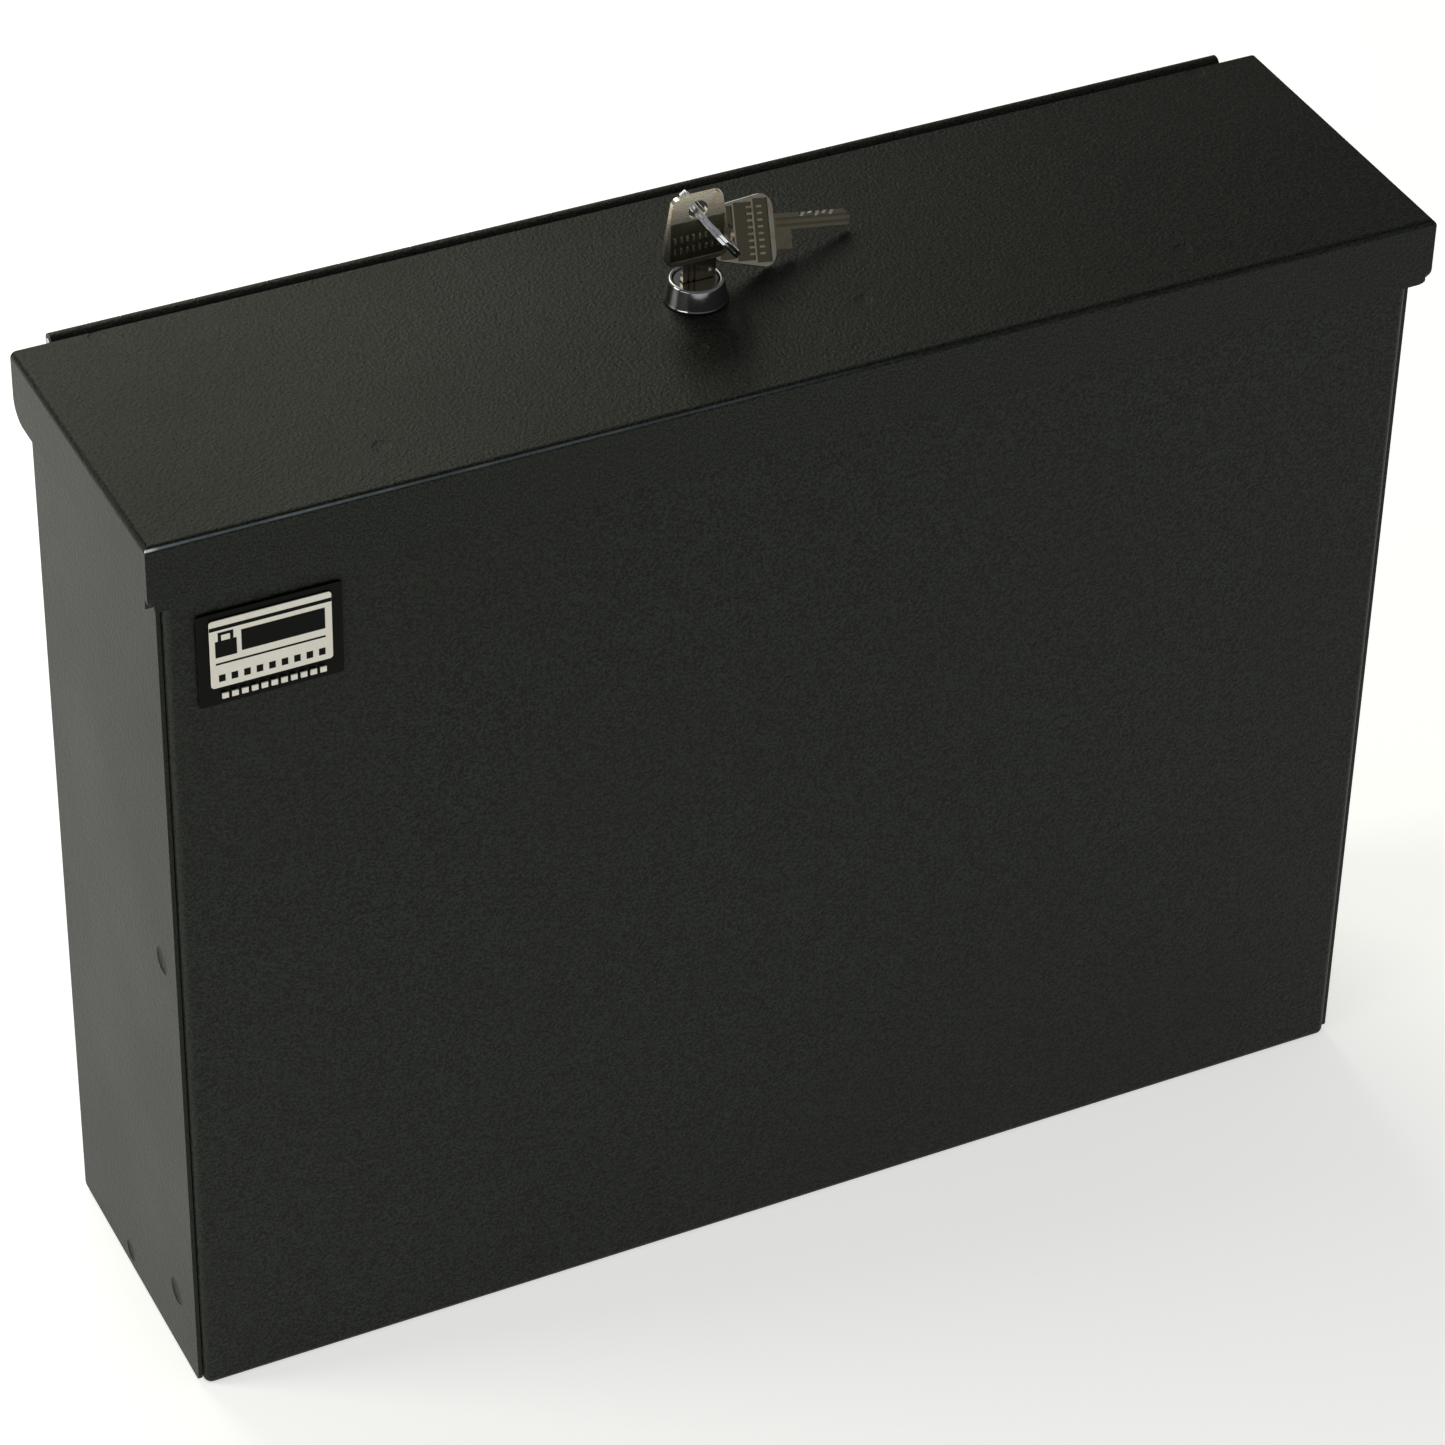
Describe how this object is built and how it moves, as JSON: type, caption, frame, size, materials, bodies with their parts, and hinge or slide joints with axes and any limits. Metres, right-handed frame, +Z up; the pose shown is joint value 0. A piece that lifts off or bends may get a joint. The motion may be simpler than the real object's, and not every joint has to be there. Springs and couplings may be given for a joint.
{
  "type": "lockable steel box",
  "caption": "Upright flat sheet-steel box with an overlapping pan lid on a full-width rear hinge, a cam lock in the lid and two keys on a ring.",
  "frame": {"origin": "centre of the bounding box's footprint, on the floor that the box stands on", "axes": "+Z up, +Y to the rear (the hinge side), +X to the right of someone facing the label"},
  "size_m": [0.46, 0.126, 0.3975],
  "materials": {
    "powder_coat": "fine-textured semi-matt black powder coat",
    "zinc_steel": "zinc plated",
    "label_black": "gloss black border",
    "label_white": "off-white printed face",
    "chrome": "bright chrome plate",
    "brass": "machined brass",
    "nickel": "nickel plated brass"
  },
  "bodies": {
    "body": {"body_wrap": "powder_coat", "left_end_plate": "powder_coat", "right_end_plate": "powder_coat", "catch_bracket": "powder_coat", "hinge_leaf_body": "powder_coat", "hinge_pin": "zinc_steel", "label_plate": "label_black", "label_face": "label_white"},
    "lid": {"lid_shell": "powder_coat", "hinge_leaf_lid": "powder_coat", "lid_stiffener": "powder_coat", "lock_housing": "chrome", "lock_spur_washer": "zinc_steel", "lock_nut": "zinc_steel"},
    "plug": {"lock_plug": "brass", "tumbler_wafer_1": "brass", "tumbler_wafer_2": "brass", "tumbler_wafer_3": "brass", "tumbler_wafer_4": "brass", "tumbler_wafer_5": "brass", "wafer_spring_1": "zinc_steel", "wafer_spring_2": "zinc_steel", "wafer_spring_3": "zinc_steel", "wafer_spring_4": "zinc_steel", "wafer_spring_5": "zinc_steel", "cam_stop_washer": "zinc_steel", "cam": "zinc_steel", "cam_lock_washer": "zinc_steel", "cam_screw": "zinc_steel"},
    "key": {"key_in_lock": "nickel"},
    "ring": {"key_ring": "chrome"},
    "spare": {"spare_key": "nickel"}
  },
  "joints": [
    {"name": "lid_hinge", "type": "hinge", "parent": "body", "child": "lid", "pos_m": [0, 0.06, 0.3558], "axis": [-1, 0, 0], "range_deg": [0, 180]},
    {"name": "lock_turn", "type": "hinge", "parent": "lid", "child": "plug", "pos_m": [-0.0165, -0.0045, 0.3652], "axis": [0, 0, -1], "range_deg": [0, 90]},
    {"name": "key_slide", "type": "slide", "parent": "plug", "child": "key", "axis": [0, 0, 1], "range_m": [0, 0.028]},
    {"name": "ring_swing", "type": "hinge", "parent": "key", "child": "ring", "pos_m": [-0.0167, -0.0045, 0.3922], "axis": [0, -1, 0], "range_deg": [0, 110]},
    {"name": "spare_key_swing", "type": "hinge", "parent": "ring", "child": "spare", "pos_m": [-0.00152, 0.00579, 0.37293], "axis": [0.2502, -0.8325, 0.4943], "range_deg": [0, 80]}
  ]
}
